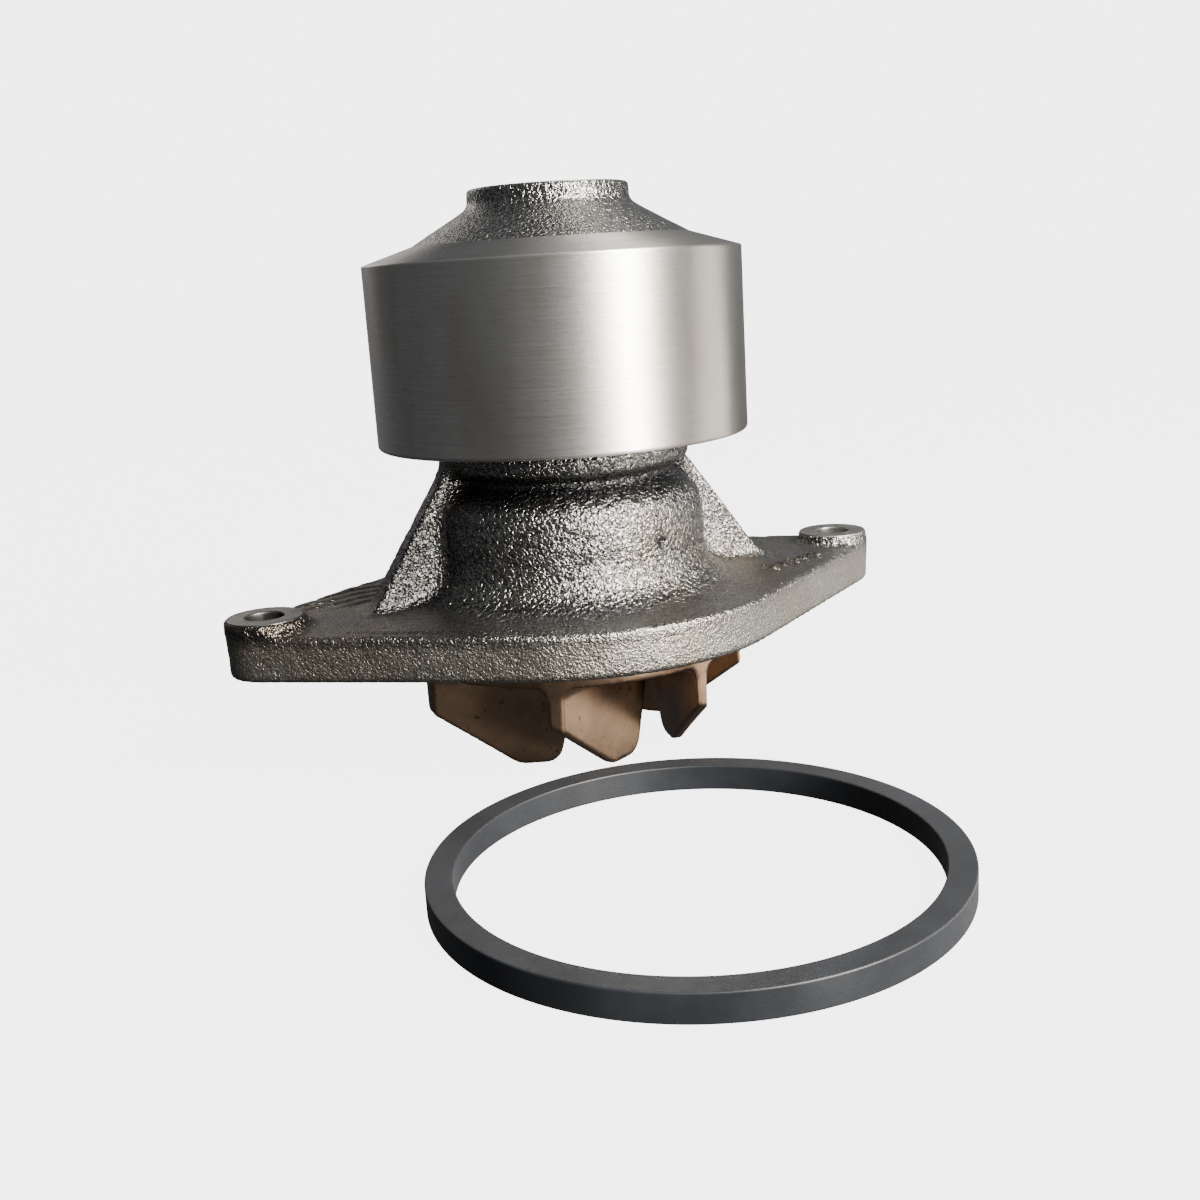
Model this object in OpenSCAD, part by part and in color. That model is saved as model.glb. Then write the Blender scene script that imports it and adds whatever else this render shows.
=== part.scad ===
// Two-bolt belt-driven engine water pump with its loose sealing ring.
// Frame: +Z along the shaft from the impeller to the pulley, X through the two bolt holes,
// origin where the shaft axis meets the rear (engine side) face of the mounting flange.

/* [Mounting flange] */
// Distance between the two bolt holes
bolt_spacing = 157; // [150:1:170]
// Diameter of the bolt holes
bolt_hole_d = 9; // [8.4:0.1:10.5]
// Radius of the round middle of the flange
flange_r = 54.4; // [52:0.2:58]
// Thickness of the flange
flange_h = 10.8; // [9:0.2:13]
// Radius of the rounded end of each ear
ear_end_r = 9.6; // [9.6:0.1:12]
// Diameter of the machined bolt boss on each ear
boss_d = 18.6; // [16:0.2:19]
// Height of a bolt boss above the rear face
boss_top = 13.9; // [13.4:0.1:16]

/* [Bearing housing] */
// Largest radius of the bell above the flange
bell_r = 34.2; // [33:0.2:36]
// Radius of the waist between bell and collar
waist_r = 28.6; // [27:0.2:30]
// Radius of the collar below the pulley
collar_r = 31; // [30.5:0.1:32]
// Radius of the nose that reaches up inside the pulley
nose_r = 26.5; // [25:0.2:28]
// Height of the top of the nose
nose_top = 81.5; // [80:0.1:82]
// Thickness of the two side webs
web_t = 5; // [4:0.2:7]
// Diameter of the weep hole
weep_d = 5; // [3:0.5:6]

/* [Pulley] */
// Outer diameter of the belt face
pulley_d = 92; // [90:0.5:96]
// Height of the pulley's lower rim above the rear face
pulley_bottom = 48.3; // [48:0.1:49]
// Height of the belt face
pulley_face = 43.8; // [42:0.1:45]
// Thickness of the pulley rim
pulley_wall = 4.5; // [3.5:0.1:5]
// Diameter of the pulley hub
hub_d = 39.4; // [38:0.2:41]
// Height of the hub above the top edge of the belt face
hub_rise = 16.3; // [15:0.1:18]

/* [Impeller] */
// Outer diameter of the impeller
impeller_d = 85.4; // [84:0.2:87]
// Number of blades
blade_count = 7; // [5:1:8]
// Thickness of a blade
blade_t = 2.6; // [2:0.1:3.4]
// Lean of a blade from the radial direction, in degrees
blade_lean = 30; // [24:1:34]
// Depth of the blade tips below the rear face
blade_tip = 30; // [28:0.5:33]

/* [Shaft and bearing] */
// Diameter of the shaft in the bearing and in the pulley
shaft_d = 19; // [18.8:0.1:19.2]
// Diameter of the shaft in the seal and in the impeller
journal_d = 16; // [15.6:0.1:16]
// Outer diameter of the bearing's outer ring
bearing_d = 38; // [37:0.1:38.4]
// Number of bearing balls
ball_count = 8; // [6:1:8]
// Diameter of a bearing ball
ball_d = 7; // [6.8:0.02:7.04]
// Number of bearing rollers
roller_count = 11; // [8:1:12]
// Diameter of a bearing roller
roller_d = 5.44; // [5.3:0.02:5.44]
// Length of a bearing roller
roller_len = 13.6; // [12:0.1:13.8]

/* [Sealing ring] */
// Outer diameter of the rubber ring
ring_od = 107; // [104:0.5:108]
// Inner diameter of the rubber ring
ring_id = 95.8; // [94:0.1:99]
// Height of the rubber ring
ring_t = 5.8; // [5:0.1:6]
// Place of the loose ring across the pump
ring_x = -16; // [-20:0.5:0]
// Place of the loose ring in front of the pump
ring_y = -95.3; // [-110:0.1:-95]

/* [Hidden] */
$fn = 96;
shaft_r = shaft_d / 2;
journal_r = journal_d / 2;
// Bearing: raceways, pitch circle and rows
bearing_r = bearing_d / 2;
bearing_bottom = 28.2;
bearing_top = 83;
race_r = 15;
pitch_r = (shaft_r + race_r) / 2;
ball_z = 72;
groove_r = 3.62;
roller_z = 46;
cage_in_r = 10.3;
cage_out_r = 14.2;
pocket_gap = 0.22;
// Housing: bores and rear pocket, from the engine side upwards
seal_face_z = 2.6;
seal_bore_r = 18.2;
seal_bore_top = 16;
weep_room_r = 17;
weep_z = 22;
pocket_in_r = 25;
pocket_out_r = 43.8;
pocket_top = 16;
flare_r = 9;
web_foot_in_x = 29;
web_foot_x = 55.9;
web_head_x = 29.4;
web_head_z = 45.5;
left_web_inset = 2.3;
// Pulley
pulley_r = pulley_d / 2;
pulley_top = pulley_bottom + pulley_face;
hub_r = hub_d / 2;
hub_top = pulley_top + hub_rise;
edge = 0.8;
// Impeller
impeller_r = impeller_d / 2;
disc_top = -1.6;
disc_bottom = -5;
blade_edge_z = -15.5;
blade_len = 35.5;
impeller_hub_r = 13;
impeller_hub_bottom = -16;
impeller_hub_top = 0.2;
first_blade = -119.8;
// Shaft seal: wall thickness of its pressed metal parts and heights of its rubbing faces
sheet = 0.8;
sleeve_r = 8.9;
seat_bottom = 2.2;
seat_top = 5.8;
film = 0.02;
case_top = 15.6;
spring_wire_r = 0.5;
spring_coil_r = 12.6;
spring_turns = 3;
ferrule_top = 9.8;

BALLS = [for (k = [1 : ball_count]) str("ball_", k)];
ROLLERS = [for (k = [1 : roller_count]) str("roller_", k)];

// Points of an arc about [x, z] from angle a to angle b
function arc(x, z, r, a, b, steps) =
    [for (i = [0 : steps]) [x + r * cos(a + (b - a) * i / steps), z + r * sin(a + (b - a) * i / steps)]];

// Flat outline of the flange: a round middle, two round ears and the straight sides that touch both
module flange_outline() {
    touch = acos((flange_r - ear_end_r) / (bolt_spacing / 2));
    side = [flange_r * cos(touch), flange_r * sin(touch)];
    tip = [bolt_spacing / 2 + ear_end_r * cos(touch), ear_end_r * sin(touch)];
    circle(flange_r);
    for (s = [-1, 1]) {
        translate([s * bolt_spacing / 2, 0]) circle(ear_end_r);
        polygon([[0, 0], [s * side.x, side.y], [s * tip.x, tip.y], [s * tip.x, -tip.y], [s * side.x, -side.y]]);
    }
}

// Outer body of revolution of the housing: flare, bell, waist, collar and nose
module housing_body() {
    flare_x = bell_r + flare_r;
    flare_z = flange_h + flare_r;
    rotate_extrude()
        polygon(concat(
            [[0, 0], [flare_x, 0]],
            arc(flare_x, flare_z, flare_r, 270, 180, 6),
            [[bell_r, 25], [bell_r - 0.9, 30], [bell_r - 2.4, 33.6], [waist_r + 1, 35.8], [waist_r, 37.2]],
            [[waist_r + 0.6, 38.8], [collar_r - 0.6, 40.6], [collar_r, 41.6], [collar_r, 46.4]],
            [[nose_r + 1, 50.5], [nose_r, 52], [nose_r, nose_top - 1], [nose_r - 1, nose_top], [0, nose_top]]
        ));
}

// One web from the flange up to the collar, in the plane of the bolt holes; inset draws its slope inwards
module web(inset) {
    translate([0, web_t / 2, 0])
        rotate([90, 0, 0])
            linear_extrude(web_t)
                polygon([
                    [web_foot_in_x, flange_h - 1],
                    [web_foot_x + 0.7 - inset, flange_h - 1],
                    [web_head_x - inset, web_head_z],
                    [nose_r - 4, web_head_z]
                ]);
}

module housing() {
    color([0.29, 0.29, 0.28])
        difference() {
            union() {
                linear_extrude(flange_h) flange_outline();
                for (s = [-1, 1]) {
                    translate([s * bolt_spacing / 2, 0, 0]) cylinder(h = boss_top, d = boss_d);
                }
                housing_body();
                web(0);
                mirror([1, 0, 0]) web(left_web_inset);
            }
            for (s = [-1, 1]) {
                translate([s * bolt_spacing / 2, 0, -1]) cylinder(h = boss_top + 2, d = bolt_hole_d);
            }
            translate([0, 0, -1]) cylinder(h = seal_face_z + 1, r = pocket_in_r);
            translate([0, 0, 1]) cylinder(h = seal_bore_top - 1, r = seal_bore_r);
            translate([0, 0, seal_bore_top - 1]) cylinder(h = bearing_bottom - seal_bore_top + 2, r = weep_room_r);
            translate([0, 0, bearing_bottom]) cylinder(h = nose_top, r = bearing_r);
            rotate_extrude()
                polygon([
                    [pocket_in_r, -1],
                    [pocket_out_r, -1],
                    [pocket_out_r - 3, 6],
                    [pocket_in_r + 3.5, pocket_top],
                    [pocket_in_r, pocket_top]
                ]);
            translate([0, 0, weep_z]) rotate([-90, 0, 0]) cylinder(h = bell_r + 5, d = weep_d);
        }
}

module pulley() {
    cone_r = pulley_r - 12.4;
    inner_r = pulley_r - pulley_wall;
    color([0.66, 0.65, 0.63])
        rotate_extrude()
            polygon(concat(
                [[inner_r, pulley_bottom], [pulley_r - edge, pulley_bottom], [pulley_r, pulley_bottom + edge]],
                [[pulley_r, pulley_top - edge], [pulley_r - edge, pulley_top], [cone_r, pulley_top + 3.9]],
                [[hub_r + 3.4, pulley_top + 9.4]],
                arc(hub_r + 3, pulley_top + 12.4, 3, 262, 180, 4),
                [[hub_r, hub_top - edge], [hub_r - edge, hub_top], [shaft_r, hub_top], [shaft_r, bearing_top + 2.5]],
                [[hub_r - 2.7, bearing_top + 2.5], [hub_r - 2.7, pulley_top + 1.4], [hub_r + 1.3, pulley_top + 4.6]],
                [[cone_r, pulley_top - 1.2], [inner_r - 1, pulley_top - 4.4], [inner_r, pulley_top - 5.4]]
            ));
}

// One blade: its long axis runs inwards from the rim at the lean angle
module blade() {
    translate([impeller_r - 0.6, 0, 0])
        rotate([0, 0, 180 - blade_lean])
            rotate([90, 0, 0])
                translate([0, 0, -blade_t / 2])
                    linear_extrude(blade_t)
                        polygon([
                            [-3, disc_bottom + 1],
                            [-3, blade_edge_z + 2],
                            [0, blade_edge_z],
                            [18.3, 0.6 - blade_tip],
                            [20.4, -blade_tip],
                            [27.4, -blade_tip],
                            [29.2, 1.6 - blade_tip],
                            [blade_len - 2, -16],
                            [blade_len, disc_bottom + 1]
                        ]);
}

module impeller() {
    color([0.48, 0.38, 0.30])
        difference() {
            union() {
                translate([0, 0, disc_bottom]) cylinder(h = disc_top - disc_bottom, r = impeller_r);
                translate([0, 0, impeller_hub_bottom])
                    cylinder(h = impeller_hub_top - impeller_hub_bottom, r = impeller_hub_r);
                intersection() {
                    for (k = [0 : blade_count - 1]) {
                        rotate([0, 0, first_blade + k * 360 / blade_count]) blade();
                    }
                    translate([0, 0, -blade_tip - 1]) cylinder(h = blade_tip, r = impeller_r);
                }
            }
            translate([0, 0, impeller_hub_bottom - 1])
                cylinder(h = impeller_hub_top - impeller_hub_bottom + 2, r = journal_r);
        }
}

module bearing_shaft() {
    low = impeller_hub_bottom + 1;
    high = hub_top - 1;
    color([0.72, 0.72, 0.74])
        difference() {
            rotate_extrude()
                polygon([
                    [0, low],
                    [journal_r - edge, low],
                    [journal_r, low + edge],
                    [journal_r, bearing_bottom],
                    [shaft_r, bearing_bottom + edge],
                    [shaft_r, high - edge],
                    [shaft_r - edge, high],
                    [0, high]
                ]);
            ball_track();
        }
}

// Round track that the balls run in, cut half from the shaft and half from the outer ring
module ball_track() {
    translate([0, 0, ball_z])
        rotate_extrude()
            translate([pitch_r, 0]) circle(groove_r);
}

module bearing_outer_ring() {
    color([0.70, 0.70, 0.72])
        difference() {
            rotate_extrude()
                polygon([
                    [race_r, bearing_bottom],
                    [bearing_r - edge, bearing_bottom],
                    [bearing_r, bearing_bottom + edge],
                    [bearing_r, bearing_top - edge],
                    [bearing_r - edge, bearing_top],
                    [race_r, bearing_top]
                ]);
            ball_track();
        }
}

module cage_sleeve(bottom, top) {
    rotate_extrude()
        translate([cage_in_r, bottom]) square([cage_out_r - cage_in_r, top - bottom]);
}

module ball_cage() {
    color([0.80, 0.74, 0.58])
        difference() {
            cage_sleeve(ball_z - 4.8, ball_z + 1.6);
            for (k = [1 : ball_count]) {
                rotate([0, 0, k * 360 / ball_count])
                    translate([pitch_r, 0, ball_z]) sphere(d = ball_d + 2 * pocket_gap);
            }
        }
}

module roller_cage() {
    pocket_h = roller_len + 2 * pocket_gap;
    color([0.80, 0.74, 0.58])
        difference() {
            cage_sleeve(roller_z - pocket_h / 2 - 2.6, roller_z + pocket_h / 2 + 2.6);
            for (k = [1 : roller_count]) {
                rotate([0, 0, k * 360 / roller_count])
                    translate([pitch_r, 0, roller_z - pocket_h / 2])
                        cylinder(h = pocket_h, d = roller_d + 2 * pocket_gap);
            }
        }
}

module ball(k) {
    color([0.85, 0.85, 0.87])
        rotate([0, 0, k * 360 / ball_count])
            translate([pitch_r, 0, ball_z]) sphere(d = ball_d);
}

module roller(k) {
    half = roller_len / 2;
    color([0.85, 0.85, 0.87])
        rotate([0, 0, k * 360 / roller_count])
            translate([pitch_r, 0, roller_z])
                rotate_extrude()
                    polygon([
                        [0, -half],
                        [roller_d / 2 - 0.4, -half],
                        [roller_d / 2, 0.4 - half],
                        [roller_d / 2, half - 0.4],
                        [roller_d / 2 - 0.4, half],
                        [0, half]
                    ]);
}

// Lip seal of the bearing: a flat ring whose lip ends just clear of the shaft
module bearing_lip_seal(bottom) {
    lip_r = shaft_r + 0.06;
    color([0.12, 0.12, 0.13])
        translate([0, 0, bottom])
            rotate_extrude()
                polygon([[race_r, 0], [race_r, 1.8], [lip_r + 1.2, 1.8], [lip_r, 0.9], [lip_r, 0.5], [lip_r + 1.2, 0]]);
}

module front_bearing_seal() bearing_lip_seal(bearing_top - 2.4);

module rear_bearing_seal() bearing_lip_seal(bearing_bottom + 1.2);

module slinger() {
    color([0.62, 0.62, 0.60])
        rotate_extrude()
            polygon([
                [journal_r, weep_z - 3.5],
                [journal_r + 1.4, weep_z - 3.5],
                [15.2, weep_z - 4.8],
                [15.2, weep_z - 3.8],
                [journal_r + 1.4, weep_z - 2],
                [journal_r + 1, weep_z],
                [journal_r, weep_z]
            ]);
}

module seal_case() {
    rim_r = seal_bore_r + 2.3;
    color([0.78, 0.63, 0.33])
        rotate_extrude()
            polygon([
                [seal_bore_r, seal_face_z],
                [rim_r, seal_face_z],
                [rim_r, seal_face_z - sheet],
                [seal_bore_r - sheet, seal_face_z - sheet],
                [seal_bore_r - sheet, case_top - sheet],
                [10.4, case_top - sheet],
                [10.4, case_top],
                [seal_bore_r, case_top]
            ]);
}

// Round wire wound between the ferrule and the top of the case
module seal_spring() {
    sides = 8;
    rings = spring_turns * 18;
    low = ferrule_top + spring_wire_r + 0.05;
    rise = case_top - sheet - spring_wire_r - 0.05 - low;
    points = [
        for (i = [0 : rings], j = [0 : sides - 1])
            let (turn = 360 * spring_turns * i / rings, side = 360 * j / sides,
                 r = spring_coil_r + spring_wire_r * cos(side))
                [r * cos(turn), r * sin(turn), low + rise * i / rings + spring_wire_r * sin(side)]
    ];
    walls = [
        for (i = [0 : rings - 1], j = [0 : sides - 1])
            let (a = i * sides + j, b = i * sides + (j + 1) % sides)
                [a, b, b + sides, a + sides]
    ];
    first = [[for (j = [sides - 1 : -1 : 0]) j]];
    last = [[for (j = [0 : sides - 1]) rings * sides + j]];
    color([0.75, 0.75, 0.77])
        polyhedron(points, concat(walls, first, last), convexity = 6);
}

module seal_bellows() {
    middle = (ferrule_top + case_top - sheet) / 2;
    color([0.11, 0.11, 0.12])
        rotate_extrude()
            polygon([
                [10, ferrule_top],
                [11, ferrule_top],
                [11.5, middle],
                [11, case_top - sheet],
                [10, case_top - sheet],
                [10.5, middle]
            ]);
}

module seal_carbon_ring() {
    low = seat_top + film;
    high = ferrule_top - sheet;
    color([0.16, 0.16, 0.17])
        rotate_extrude()
            polygon([[10.4, low], [12.2, low], [12.2, low + 1], [13, low + 1], [13, high], [10, high], [10, low + 0.4]]);
}

module seal_ferrule() {
    color([0.74, 0.74, 0.76])
        rotate_extrude()
            polygon([
                [13, ferrule_top - 2.6],
                [13 + sheet, ferrule_top - 2.6],
                [13 + sheet, ferrule_top],
                [10, ferrule_top],
                [10, ferrule_top - sheet],
                [13, ferrule_top - sheet]
            ]);
}

module seal_seat_ring() {
    color([0.88, 0.87, 0.83])
        rotate_extrude()
            translate([9.2, seat_bottom]) square([4.2, seat_top - seat_bottom]);
}

module seal_seat_boot() {
    low = impeller_hub_top + sheet;
    color([0.10, 0.10, 0.11])
        rotate_extrude()
            polygon([
                [sleeve_r, low],
                [14.6, low],
                [14.6, seat_bottom + 2.4],
                [13.4, seat_bottom + 2.4],
                [13.4, seat_bottom],
                [sleeve_r, seat_bottom]
            ]);
}

module seal_sleeve() {
    low = impeller_hub_top;
    color([0.76, 0.76, 0.78])
        rotate_extrude()
            polygon([
                [journal_r, low],
                [14.6, low],
                [14.6, low + sheet],
                [sleeve_r, low + sheet],
                [sleeve_r, 13],
                [journal_r, 13]
            ]);
}

module sealing_ring() {
    corner = 0.3;
    in_r = ring_id / 2;
    out_r = ring_od / 2;
    color([0.13, 0.14, 0.15])
        translate([ring_x, ring_y, -blade_tip])
            rotate_extrude()
                polygon([
                    [in_r, corner],
                    [in_r + corner, 0],
                    [out_r - corner, 0],
                    [out_r, corner],
                    [out_r, ring_t - corner],
                    [out_r - corner, ring_t],
                    [in_r + corner, ring_t],
                    [in_r, ring_t - corner]
                ]);
}

housing();
pulley();
impeller();
bearing_shaft();
bearing_outer_ring();
ball_cage();
roller_cage();
front_bearing_seal();
rear_bearing_seal();
slinger();
seal_case();
seal_spring();
seal_bellows();
seal_carbon_ring();
seal_ferrule();
seal_seat_ring();
seal_seat_boot();
seal_sleeve();
sealing_ring();
for (k = [1 : ball_count]) ball(k);
for (k = [1 : roller_count]) roller(k);
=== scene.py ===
"""Looks of the engine water pump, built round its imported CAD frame.

Lengths in the building functions are millimetres in the CAD frame: +Z runs up the shaft, X runs
through the two bolt holes and the origin is on the shaft axis in the flange's rear face. Lengths in
the materials are metres in the same frame.
"""
import math

import bmesh
import bpy
import numpy as np
from mathutils import Matrix, Vector


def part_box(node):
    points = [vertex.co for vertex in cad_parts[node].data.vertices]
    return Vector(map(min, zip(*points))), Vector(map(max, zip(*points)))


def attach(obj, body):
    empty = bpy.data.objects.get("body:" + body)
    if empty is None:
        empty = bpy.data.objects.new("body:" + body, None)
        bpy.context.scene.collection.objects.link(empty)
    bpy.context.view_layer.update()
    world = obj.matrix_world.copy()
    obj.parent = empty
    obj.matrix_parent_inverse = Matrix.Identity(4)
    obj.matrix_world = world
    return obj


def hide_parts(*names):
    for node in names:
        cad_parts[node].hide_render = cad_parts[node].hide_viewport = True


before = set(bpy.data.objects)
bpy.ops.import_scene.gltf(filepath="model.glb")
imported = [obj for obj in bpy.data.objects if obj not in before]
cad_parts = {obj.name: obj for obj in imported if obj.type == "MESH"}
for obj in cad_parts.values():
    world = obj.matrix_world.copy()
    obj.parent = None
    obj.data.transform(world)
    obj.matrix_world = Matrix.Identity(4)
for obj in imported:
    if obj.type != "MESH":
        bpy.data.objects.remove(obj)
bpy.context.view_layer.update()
MM = 0.001


# ---------------------------------------------------------------- sizes read from the CAD frame

def box_mm(node):
    low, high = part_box(node)
    return np.array(low) / MM, np.array(high) / MM


HOUSING_LOW, HOUSING_HIGH = box_mm("housing")
PULLEY_LOW, PULLEY_HIGH = box_mm("pulley")
IMPELLER_LOW, IMPELLER_HIGH = box_mm("impeller")
SHAFT_LOW, SHAFT_HIGH = box_mm("bearing_shaft")
RING_LOW, RING_HIGH = box_mm("sealing_ring")

EAR_X = 78.5
EAR_R = HOUSING_HIGH[0] - EAR_X
FLANGE_R = HOUSING_HIGH[1]
FLANGE_H = 10.8
BOSS_TOP = 13.9
BOSS_R = 9.3
BOLT_R = 4.5
NOSE_TOP = HOUSING_HIGH[2]
PULLEY_R = PULLEY_HIGH[0]
PULLEY_BOTTOM = PULLEY_LOW[2]
RIM_TOP = PULLEY_BOTTOM + 43.8
HUB_TOP = PULLEY_HIGH[2]
HUB_R = 19.7
IMPELLER_R = 42.7
BLADE_COUNT = 7
BLADE_LEAN = math.radians(30)
FIRST_BLADE = math.radians(-119.8)
TIP_Z = IMPELLER_LOW[2]
RING_WALL = 5.6
# Pulley: wall of the rim, and how far inside the belt face the cast cone starts
RIM_WALL = 4.5
CONE_INSET = 12.4
# Shaft in the pulley and bearing, and thinner in the seal and impeller
SHAFT_R = 9.5
JOURNAL_R = 8.0
# Impeller: heights of its disc and hub, and of the blades' edge at the rim
DISC_BOTTOM = -5.0
DISC_TOP = -1.6
IMPELLER_HUB_R = 13.0
IMPELLER_HUB_BOTTOM = -16
IMPELLER_HUB_TOP = 0.2
BLADE_EDGE_Z = -15.5
# Middle and radius of a small gas hole in the front of the bell
PIT_BEARING = math.radians(-72)
PIT = (34.3 * math.cos(PIT_BEARING), 34.3 * math.sin(PIT_BEARING), 24.4)
PIT_R = 1.2


# ---------------------------------------------------------------- noise for geometry

# Multipliers that scatter a lattice cell and a seed over the integers
SCATTER = (73856093, 19349663, 83492791, 2654435761, 1274126177)


def value_noise(points, size, seed):
    """Smooth noise between -1 and 1 whose lumps are about size millimetres across."""
    grid = points / size
    cell = np.floor(grid).astype(np.int64)
    part = grid - cell
    part = part * part * (3 - 2 * part)
    total = np.zeros(len(points))
    for corner in range(8):
        step = np.array([corner & 1, (corner >> 1) & 1, (corner >> 2) & 1])
        key = cell + step
        mixed = key[:, 0] * SCATTER[0] ^ key[:, 1] * SCATTER[1] ^ key[:, 2] * SCATTER[2]
        mixed ^= seed * SCATTER[3]
        mixed = (mixed ^ (mixed >> 13)) * SCATTER[4]
        value = ((mixed ^ (mixed >> 16)) & 0xFFFF) / 32767.5 - 1
        weight = np.prod(np.where(step == 1, part, 1 - part), axis=1)
        total += weight * value
    return total


# ---------------------------------------------------------------- signed distance helpers

def smooth_min(a, b, k):
    """Union with a fillet about k wide."""
    h = np.maximum(k - np.abs(a - b), 0) / k
    return np.minimum(a, b) - h * h * k * 0.25


def smooth_max(a, b, k):
    """Intersection with a rounded edge about k wide."""
    return -smooth_min(-a, -b, k)


def slab(distance, z, bottom, top, edge):
    """Solid between two heights whose outline has this distance, with rounded edges."""
    up = np.maximum(bottom - z, z - top) + edge
    out = distance + edge
    corner = np.hypot(np.maximum(out, 0), np.maximum(up, 0))
    return np.minimum(np.maximum(out, up), 0) + corner - edge


def egg(x, y, r1, r2, reach):
    """Distance to the outline round a circle r1 at the origin and circles r2 at x = +-reach."""
    along = np.abs(x)
    side = np.abs(y)
    b = (r1 - r2) / reach
    a = math.sqrt(1 - b * b)
    k = -b * side + a * along
    middle = a * side + b * along - r1
    first = np.hypot(side, along) - r1
    last = np.hypot(side, along - reach) - r2
    return np.where(k < 0, first, np.where(k > a * reach, last, middle))


def surface_net(field, low, high, step):
    """Mesh of the zero surface of field(x, y, z): vertices on the surface, and quads."""
    axes = [np.arange(low[i], high[i] + step, step) for i in range(3)]
    shape = tuple(len(a) for a in axes)
    values = np.empty(shape, dtype=np.float32)
    y, z = np.meshgrid(axes[1], axes[2], indexing="ij")
    for i, x in enumerate(axes[0]):
        values[i] = field(np.full(y.shape, x), y, z)
    inside = values < 0
    cells = [slice(0, n - 1) for n in shape]
    shifted = [slice(1, n) for n in shape]
    corner_ids = [(i & 1, (i >> 1) & 1, (i >> 2) & 1) for i in range(8)]
    count = np.zeros([n - 1 for n in shape], dtype=np.int8)
    for c in corner_ids:
        count += inside[tuple(shifted[k] if c[k] else cells[k] for k in range(3))]
    active = np.argwhere((count > 0) & (count < 8))
    total = np.zeros((len(active), 3))
    crossings = np.zeros(len(active))
    for a in corner_ids:
        for axis in range(3):
            if a[axis]:
                continue
            b = tuple(1 if k == axis else a[k] for k in range(3))
            fa = values[tuple((active + a).T)].astype(float)
            fb = values[tuple((active + b).T)].astype(float)
            cross = (fa < 0) != (fb < 0)
            t = np.where(cross, fa / np.where(cross, fa - fb, 1), 0)
            point = np.array(a, dtype=float) + t[:, None] * (np.array(b) - np.array(a))
            total += point * cross[:, None]
            crossings += cross
    points = (active + total / crossings[:, None]) * step + np.array([a[0] for a in axes])
    number = np.full(count.shape, -1, dtype=np.int64)
    number[tuple(active.T)] = np.arange(len(active))
    quads = []
    for axis in range(3):
        u, v = (axis + 1) % 3, (axis + 2) % 3
        here = [slice(None)] * 3
        there = [slice(None)] * 3
        here[axis] = slice(0, shape[axis] - 1)
        there[axis] = slice(1, shape[axis])
        starts = inside[tuple(here)]
        ends = inside[tuple(there)]
        edges = np.argwhere(starts != ends)
        inner = (edges[:, u] > 0) & (edges[:, v] > 0)
        inner &= (edges[:, u] < shape[u] - 1) & (edges[:, v] < shape[v] - 1)
        edges = edges[inner]
        du = np.zeros(3, dtype=int)
        dv = np.zeros(3, dtype=int)
        du[u] = 1
        dv[v] = 1
        ring = [number[tuple((edges - s).T)] for s in (du + dv, dv, np.zeros(3, dtype=int), du)]
        quad = np.stack(ring, axis=1)
        flip = starts[tuple(edges.T)]
        quad[~flip] = quad[~flip][:, ::-1]
        quads.append(quad)
    quads = np.concatenate(quads)
    return settle(field, points, step), quads


def gradient(field, points):
    """Slope of the field at each point, from differences over a short distance."""
    h = 0.05
    slope = []
    for axis in range(3):
        up = points.copy()
        down = points.copy()
        up[:, axis] += h
        down[:, axis] -= h
        slope.append((field(*up.T) - field(*down.T)) / (2 * h))
    return np.stack(slope, axis=1)


def settle(field, points, step):
    """Moves points along the field's slope onto its zero surface, by less than a grid step."""
    start = points.copy()
    for _ in range(4):
        slope = gradient(field, points)
        steep = np.maximum((slope ** 2).sum(axis=1), 0.05)
        points = points - slope * (field(*points.T) / steep)[:, None]
    moved = points - start
    far = np.maximum(np.linalg.norm(moved, axis=1) / (0.7 * step), 1)
    return start + moved / far[:, None]


# ---------------------------------------------------------------- mesh helpers

def make_mesh(name, points, faces, material):
    """New smooth-shaded object in the scene from points in millimetres and quads or polygons."""
    mesh = bpy.data.meshes.new(name)
    mesh.from_pydata((np.asarray(points) * MM).tolist(), [], np.asarray(faces).tolist())
    mesh.polygons.foreach_set("use_smooth", [True] * len(mesh.polygons))
    mesh.update()
    piece = bpy.data.objects.new(name, mesh)
    bpy.context.scene.collection.objects.link(piece)
    piece.data.materials.append(material)
    return piece


# Sides of each rounded corner's arc, and the short side beyond it that keeps its shading crisp
ARC_STEPS = 5
ARC_MARGIN = 0.12


def rounded(corners):
    """Outline of (r, z, radius) corners with every corner turned into an arc of its radius."""
    outline = []
    n = len(corners)
    for i, (r, z, radius) in enumerate(corners):
        here = np.array([r, z])
        if radius == 0:
            outline.append(here)
            continue
        back = np.array(corners[i - 1][:2]) - here
        ahead = np.array(corners[(i + 1) % n][:2]) - here
        back_len = np.linalg.norm(back)
        ahead_len = np.linalg.norm(ahead)
        back /= back_len
        ahead /= ahead_len
        half = math.acos(np.clip(back @ ahead, -1, 1)) / 2
        reach = min(radius / math.tan(half), 0.48 * back_len, 0.48 * ahead_len)
        radius = reach * math.tan(half)
        middle = here + (back + ahead) / np.linalg.norm(back + ahead) * radius / math.sin(half)
        first = here + back * reach - middle
        last = here + ahead * reach - middle
        turn = math.atan2(first[0] * last[1] - first[1] * last[0], first @ last)
        if 0.98 * back_len > reach + ARC_MARGIN:
            outline.append(here + back * (reach + ARC_MARGIN))
        for k in range(ARC_STEPS + 1):
            a = turn * k / ARC_STEPS
            spin = np.array([[math.cos(a), -math.sin(a)], [math.sin(a), math.cos(a)]])
            outline.append(middle + spin @ first)
        if 0.98 * ahead_len > reach + ARC_MARGIN:
            outline.append(here + ahead * (reach + ARC_MARGIN))
    return outline


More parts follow.
